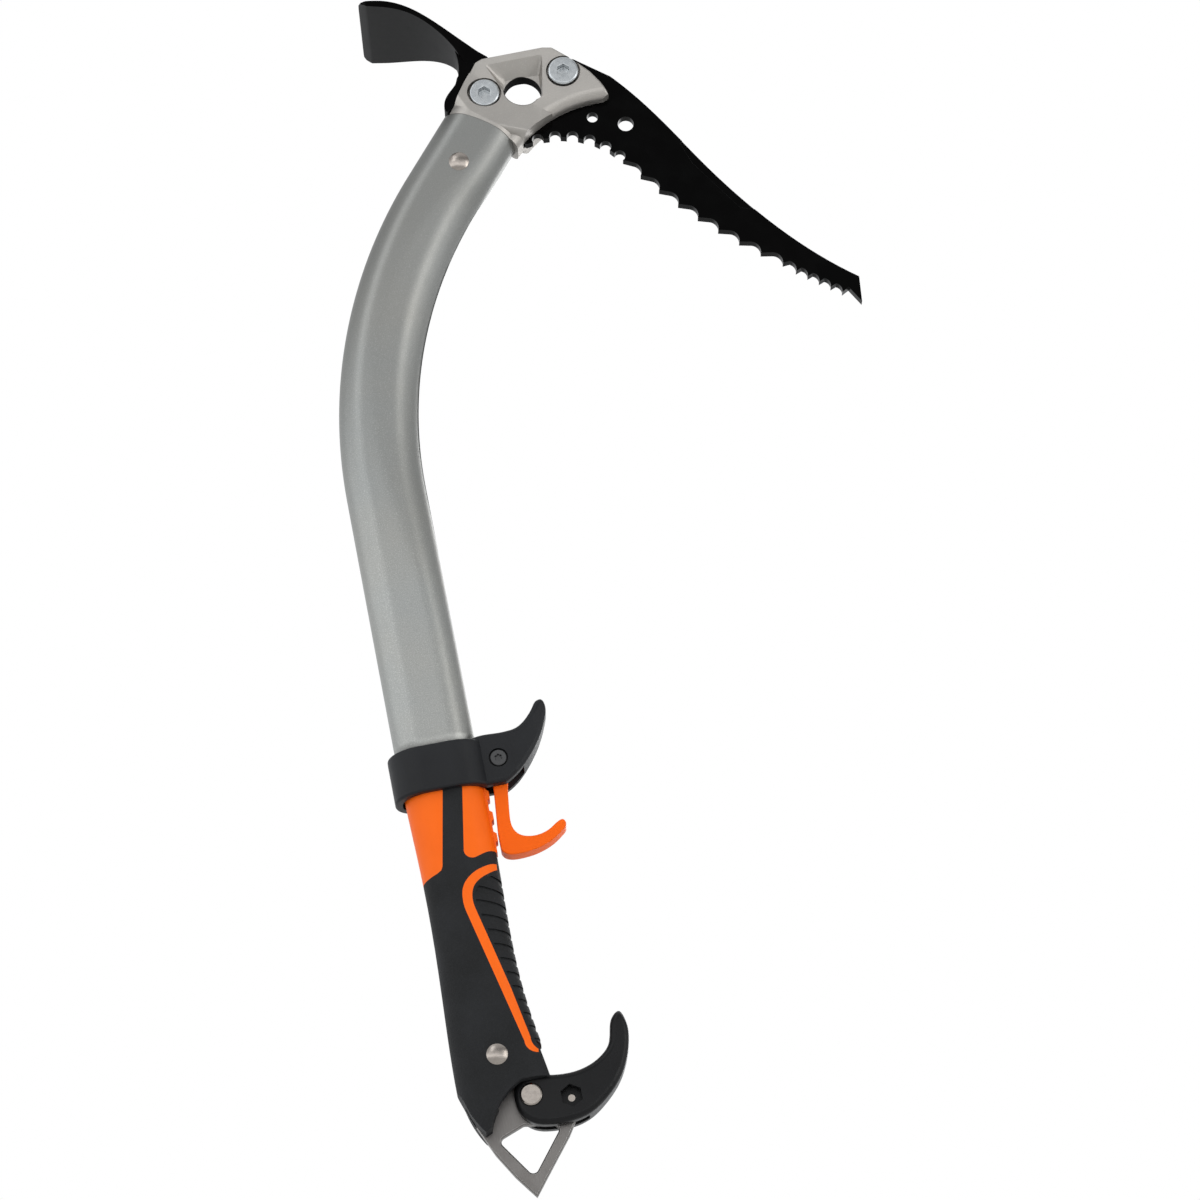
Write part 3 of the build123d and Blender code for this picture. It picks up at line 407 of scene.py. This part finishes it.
LOOKS = {
    "head_alloy": forged("satin_alloy"),
    "blade_black": black_coat("black_blade"),
    "shaft_alloy": anodised("anodised_alloy"),
    "bolt_zinc": zinc("bright_zinc"),
    "rivet_steel": polished("peened_steel"),
    "spring_steel": polished("spring_wire", (0.5, 0.5, 0.52), 0.25),
    "spike_steel": brushed("brushed_stainless"),
    "screw_black": moulded("blackened_screw", (0.014, 0.014, 0.015), (0.03, 0.03, 0.032), 0.28,
                           grain=0.3, depth=0.01, specular=0.7),
    "sleeve_orange": moulded("orange_sleeve", (0.86, 0.13, 0.004), (0.8, 0.115, 0.003), 0.42,
                             specular=0.16, shade_spot=RIB_FOOT),
    "trigger_orange": moulded("orange_lever", (0.84, 0.115, 0.0), (0.78, 0.1, 0.0), 0.38,
                              specular=0.14),
    "grip_black": rubber("grip_rubber"),
    "collar_black": moulded("black_collar", (0.008, 0.0085, 0.01), (0.012, 0.013, 0.015), 0.44,
                            specular=0.22),
    "rest_black": moulded("black_rest", (0.006, 0.006, 0.0065), (0.0095, 0.0095, 0.01), 0.28,
                          specular=0.16),
    "filler_plastic": moulded("filler_plastic", (0.03, 0.03, 0.032), (0.04, 0.04, 0.042), 0.5),
}

SLOTS = {node: piece.data.materials[0].name for node, piece in NODES.items()}


# ---------------------------------------------------------------- pieces

# Points of a CAD mesh that are closer than this are made one.
WELD = 3e-6
BEVEL_SEGMENTS = 2
BEVEL_ANGLE = math.radians(28)
FLAT_ANGLE = math.radians(0.3)


def finish_mesh(mesh, sharp=40):
    """Smooth shading that breaks at edges sharper than the given angle."""
    mesh.polygons.foreach_set("use_smooth", [True] * len(mesh.polygons))
    mesh.set_sharp_from_angle(angle=math.radians(sharp))
    mesh.update()


def body_of(node):
    """Name of the moving body that the CAD node belongs to."""
    return NODES[node]["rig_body"]


def stand_in(name, mesh, node):
    """A finished mesh that is shown in place of a CAD node."""
    piece = bpy.data.objects.new(name, mesh)
    bpy.context.scene.collection.objects.link(piece)
    slot = SLOTS[node]
    mesh.materials.append(LOOKS[slot])
    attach(piece, body_of(node))
    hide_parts(node)
    return piece


def dressed(node, name, width):
    """The CAD node's form with its sharp edges rounded, the rounded faces marked for wear and painted edge
    highlight.
    """
    bm = bmesh.new()
    bm.from_mesh(NODES[node].data)
    bmesh.ops.remove_doubles(bm, verts=bm.verts[:], dist=WELD)
    bmesh.ops.dissolve_limit(bm, angle_limit=FLAT_ANGLE, verts=bm.verts[:], edges=bm.edges[:])
    edge_mark = bm.faces.layers.float.new("edge")
    sharp = [e for e in bm.edges if e.is_manifold and e.calc_face_angle(0) > BEVEL_ANGLE]
    made = bmesh.ops.bevel(bm, geom=sharp, offset=width, offset_type="OFFSET", segments=BEVEL_SEGMENTS,
                           profile=0.6, affect="EDGES", clamp_overlap=True, loop_slide=True)
    for face in made["faces"]:
        face[edge_mark] = 1.0
    bmesh.ops.triangulate(bm, faces=[f for f in bm.faces if len(f.verts) > 4])
    mesh = bpy.data.meshes.new(name)
    bm.to_mesh(mesh)
    bm.free()
    finish_mesh(mesh)
    piece = stand_in(name, mesh, node)
    normals = piece.modifiers.new("even_normals", "WEIGHTED_NORMAL")
    normals.keep_sharp = True
    return piece


for node, piece in NODES.items():
    piece.data.materials[0] = LOOKS[SLOTS[node]]


def shaft_stations():
    """Sections down the bent centre line, apart from the arched top: the origin, the across direction,
    the distance below the head and how far the section has slimmed into the core of the grip, 0 to 1."""
    low = place(HANDLE, 0, -BEND_TANGENT)
    hub = low + HANDLE[0] * BEND_RADIUS
    turn = math.radians(BEND_TURN)
    upper_run = SADDLE_CROWN - BEND_TANGENT
    made = []
    for step in range(1, UPPER_ROWS):
        along = SADDLE_CROWN - SADDLE_DROP - (upper_run - SADDLE_DROP) * step / UPPER_ROWS
        made.append((place(UPPER, 0, along), UPPER[0], SADDLE_CROWN - along, 0))
    for step in range(BEND_STEPS + 1):
        angle = turn * (1 - step / BEND_STEPS)
        across = Matrix.Rotation(angle, 3, "Y") @ HANDLE[0]
        made.append((hub - across * BEND_RADIUS, across, upper_run + BEND_RADIUS * (turn - angle), 0))
    bend_end = upper_run + BEND_RADIUS * turn
    rows = [(-BEND_TANGENT - step * LOWER_ROW_PITCH, 0) for step in range(1, LOWER_ROWS + 1)]
    for step in range(NECK_ROWS + 1):
        share = step / NECK_ROWS
        rows.append((NECK_TOP + (NECK_BOTTOM - NECK_TOP) * share, share))
    rows.append((SHAFT_END, 1))
    for along, slim in rows:
        made.append((place(HANDLE, 0, along), HANDLE[0], bend_end - BEND_TANGENT - along, slim))
    return made


OUTLINE_POINTS = 160


def oblong(half_width, half_depth, corner):
    """Points of a rounded oblong, evenly spaced along its outline."""
    flat_u, flat_y = half_width - corner, half_depth - corner
    runs = [2 * flat_y, math.pi / 2 * corner, 2 * flat_u, math.pi / 2 * corner] * 2
    whole = sum(runs)
    corners = [(flat_u, flat_y, 0), (-flat_u, flat_y, 90), (-flat_u, -flat_y, 180), (flat_u, -flat_y, 270)]
    points = []
    for index in range(OUTLINE_POINTS):
        at = whole * index / OUTLINE_POINTS
        side = 0
        while at > runs[side]:
            at -= runs[side]
            side += 1
        centre_u, centre_y, start = corners[side // 2]
        angle = math.radians(start)
        if side % 2:
            angle += at / corner
            points.append((centre_u + corner * math.cos(angle), centre_y + corner * math.sin(angle)))
        else:
            back_u, back_y = -math.sin(angle), math.cos(angle)
            share = at - runs[side]
            points.append((centre_u + corner * math.cos(angle) + back_u * share,
                           centre_y + corner * math.sin(angle) + back_y * share))
    return points


# The crease where the pressed panel of each side face starts: (distance below the head, place across the
# shaft), in millimetres. It swings to the rear in the bend and runs out to the front at both ends.
CREASE = [(0, 7.0), (24, 5.0), (34, 3.6), (65, -0.8), (95, -2.6), (113, -2.7), (155, -0.8), (193, 3.0),
          (216, 6.0), (300, 9.0)]
CREASE_SOFTNESS = 0.9
PANEL_SLOPE = 0.2

# Distances below the head where the panel starts, is whole, starts to fade and has ended, in millimetres.
PANEL_ENDS = (14, 40, 175, 250)


def blend_along(pairs, at):
    """Value on the straight lines between the listed (position, value) pairs."""
    for (start, first), (end, second) in zip(pairs, pairs[1:]):
        if at <= end:
            share = max(0.0, min(1.0, (at - start) / (end - start)))
            return first + (second - first) * share
    return pairs[-1][1]


def panel_depth(across, below):
    """How far the pressed panel lies under the plain oval, in metres. It starts at a soft crease."""
    below_mm, across_mm = below / MM, across / MM
    start, full, fade, end = PANEL_ENDS
    rise = max(0.0, min(1.0, (below_mm - start) / (full - start)))
    fall = max(0.0, min(1.0, (end - below_mm) / (end - fade)))
    amount = (rise * rise * (3 - 2 * rise)) * (fall * fall * (3 - 2 * fall))
    past = across_mm - blend_along(CREASE, below_mm)
    ramp = CREASE_SOFTNESS * math.log1p(math.exp(past / CREASE_SOFTNESS))
    return PANEL_SLOPE * ramp * amount * MM


def shaft_skin():
    """Bent tube with a pressed panel on each side face and an arched top edge under the head."""
    outer = oblong(SHAFT_HALF_WIDTH, SHAFT_HALF_DEPTH, SHAFT_CORNER)
    core = oblong(CORE_HALF_WIDTH, CORE_HALF_DEPTH, CORE_CORNER)
    bm = bmesh.new()
    skins = []
    for inset in (0.0, SHAFT_WALL):
        rows = []
        for step in (0, 1):
            row = []
            for u, y in outer:
                arch = SADDLE_RADIUS - math.sqrt(SADDLE_RADIUS ** 2 - (u - SADDLE_SHIFT) ** 2)
                top = SADDLE_CROWN - arch
                along = top if step == 0 else (top + SADDLE_CROWN - SECOND_ROW_DROP) / 2
                shrink = 1 - inset / math.hypot(u, y)
                row.append(bm.verts.new(place(UPPER, u * shrink, along, y * shrink)))
            rows.append(row)
        for origin, across, below, slim in shaft_stations():
            row = []
            for (u, y), (core_u, core_y) in zip(outer, core):
                flank = y - math.copysign(min(abs(y), panel_depth(u, below)), y)
                point_u = u + (core_u - u) * slim
                point_y = flank + (core_y - flank) * slim
                shrink = 1 - inset / math.hypot(point_u, point_y)
                corner = origin + across * point_u * shrink + Vector((0, point_y * shrink, 0))
                row.append(bm.verts.new(corner))
            rows.append(row)
        skins.append(rows)
    for rows in skins:
        for above, below in zip(rows, rows[1:]):
            for k in range(OUTLINE_POINTS):
                n = (k + 1) % OUTLINE_POINTS
                bm.faces.new((above[k], above[n], below[n], below[k]))
    for end in (0, -1):
        for k in range(OUTLINE_POINTS):
            n = (k + 1) % OUTLINE_POINTS
            bm.faces.new((skins[0][end][k], skins[0][end][n], skins[1][end][n], skins[1][end][k]))
    bmesh.ops.recalc_face_normals(bm, faces=bm.faces[:])
    mesh = bpy.data.meshes.new("shaft_skin")
    bm.to_mesh(mesh)
    bm.free()
    finish_mesh(mesh, sharp=50)
    return mesh


stand_in("bent_shaft", shaft_skin(), "shaft_tube")

# Node, name of its finished mesh, and width of its rounded edges.
DRESSED = [
    ("head", "head_forging", 0.35 * MM),
    ("pick", "pick_blade", 0.35 * MM),
    ("adze", "adze_blade", 0.4 * MM),
    ("spike", "spike_plate", 0.35 * MM),
    ("pick_bolt", "pick_bolt_head", 0.25 * MM),
    ("adze_bolt", "adze_bolt_head", 0.25 * MM),
    ("trigger", "trigger_lever", 0.9 * MM),
    ("grip_rubber", "grip_skin", 0.16 * MM),
]
finished = {node: dressed(node, name, width) for node, name, width in DRESSED}

# The hollow of the adze is its underside beyond the stem, without the two side edges.
STEM_END = -27 * MM
adze_mesh = finished["adze"].data
hollow_mark = adze_mesh.attributes.new("hollow", "FLOAT", "FACE")
for face, mark in zip(adze_mesh.polygons, hollow_mark.data):
    inside = face.center.x < STEM_END and face.normal.z < 0.1 and abs(face.normal.y) < 0.5
    mark.value = 1.0 if inside else 0.0

# ---------------------------------------------------------------- stage, light and camera

scene = bpy.context.scene
scene.view_settings.view_transform = "Standard"

# The floor lies well below the axe, which hangs upright over it.
FLOOR_HALF = 6.0
FLOOR_DROP = 0.62
FLOOR_Z = CAD_BOX[0].z - FLOOR_DROP
floor_mesh = bpy.data.meshes.new("studio_floor")
floor_corners = [(-FLOOR_HALF, -FLOOR_HALF, FLOOR_Z), (FLOOR_HALF, -FLOOR_HALF, FLOOR_Z),
                 (FLOOR_HALF, FLOOR_HALF, FLOOR_Z), (-FLOOR_HALF, FLOOR_HALF, FLOOR_Z)]
floor_mesh.from_pydata(floor_corners, [], [(0, 1, 2, 3)])
floor = bpy.data.objects.new("studio_floor", floor_mesh)
scene.collection.objects.link(floor)
floor_look = Look("pale_floor", (0.9, 0.9, 0.89), 0.7)
floor_look.dull(floor_look.noise(60, 4), 0.1)
floor_mesh.materials.append(floor_look.done())

world = bpy.data.worlds.new("studio")
world.use_nodes = True
scene.world = world
sky = world.node_tree
directions = sky.nodes.new("ShaderNodeTexCoord")
axes = sky.nodes.new("ShaderNodeSeparateXYZ")
sky.links.new(directions.outputs["Generated"], axes.inputs[0])


def glow(axis, start, end, amount):
    """Brightness that grows from 0 to amount while a direction's axis value goes from start to end."""
    part = sky.nodes.new("ShaderNodeMapRange")
    part.interpolation_type = "SMOOTHSTEP"
    for key, number in (("From Min", start), ("From Max", end), ("To Min", 0.0), ("To Max", amount)):
        part.inputs[key].default_value = number
    sky.links.new(axes.outputs[axis], part.inputs["Value"])
    return part.outputs["Result"]


def joined(operation, first, second):
    """Sum or product of two parts of the brightness."""
    made = sky.nodes.new("ShaderNodeMath")
    made.operation = operation
    sky.links.new(first, made.inputs[0])
    sky.links.new(second, made.inputs[1])
    return made.outputs[0]


# An even room, brighter from below on the near side, and a little brighter from above and from the rear.
even_room = sky.nodes.new("ShaderNodeValue")
even_room.outputs[0].default_value = 0.42
room = even_room.outputs[0]
near_side = joined("ADD", room, glow("Y", 0.35, -0.1, 0.66))
from_below = joined("MULTIPLY", glow("Z", 0.68, -0.2, 1.55), near_side)
brightness = joined("ADD", room, from_below)
brightness = joined("ADD", brightness, glow("Z", 0.65, 1.0, 0.5))
brightness = joined("ADD", brightness, glow("X", 0.25, -0.3, 0.2))
background = sky.nodes["Background"]
background.inputs["Color"].default_value = (0.97, 0.985, 1.0, 1)
sky.links.new(brightness, background.inputs["Strength"])

# The camera itself sees plain white behind the axe.
backdrop = sky.nodes.new("ShaderNodeBackground")
backdrop.inputs["Color"].default_value = (1, 1, 1, 1)
backdrop.inputs["Strength"].default_value = 1.0
path = sky.nodes.new("ShaderNodeLightPath")
mix = sky.nodes.new("ShaderNodeMixShader")
sky.links.new(path.outputs["Is Camera Ray"], mix.inputs[0])
sky.links.new(background.outputs[0], mix.inputs[1])
sky.links.new(backdrop.outputs[0], mix.inputs[2])
sky.links.new(mix.outputs[0], sky.nodes["World Output"].inputs["Surface"])

centre = (CAD_BOX[0] + CAD_BOX[1]) / 2


def softbox(name, azimuth, elevation, distance, width, height, watts, colour=(1, 1, 1)):
    """Area light of the given power that faces the middle of the axe, sizes in metres.

    Azimuth 0 is the near side, 90 the pick side."""
    lamp = bpy.data.lights.new(name, "AREA")
    lamp.shape = "RECTANGLE"
    lamp.size = width
    lamp.size_y = height
    lamp.energy = watts
    lamp.color = colour
    box = bpy.data.objects.new(name, lamp)
    scene.collection.objects.link(box)
    a, e = math.radians(azimuth), math.radians(elevation)
    outward = Vector((math.sin(a) * math.cos(e), -math.cos(a) * math.cos(e), math.sin(e)))
    box.location = centre + outward * distance
    box.rotation_euler = (-outward).to_track_quat("-Z", "Y").to_euler()


softbox("key", -38, 40, distance=1.7, width=0.6, height=1.0, watts=3, colour=(0.96, 0.98, 1.0))
softbox("fill", 50, 10, distance=1.8, width=0.6, height=1.2, watts=4.6, colour=(1.0, 0.98, 0.95))
softbox("under", 15, -50, distance=1.6, width=0.9, height=0.9, watts=5, colour=(0.85, 0.92, 1.0))
softbox("back", 165, 25, distance=1.6, width=1.0, height=1.2, watts=8)

# The camera looks up at the axe by this many degrees.
CAMERA_AT = (0.03315, -1.6339, -0.8232)
CAMERA_RAISE = 20

camera_data = bpy.data.cameras.new("camera")
camera = bpy.data.objects.new("camera", camera_data)
scene.collection.objects.link(camera)
camera_data.lens = 127.5
camera_data.sensor_width = 36
camera_data.clip_start = 0.05
camera.location = CAMERA_AT
camera.rotation_euler = Euler((math.radians(90 + CAMERA_RAISE), 0, 0))
scene.camera = camera
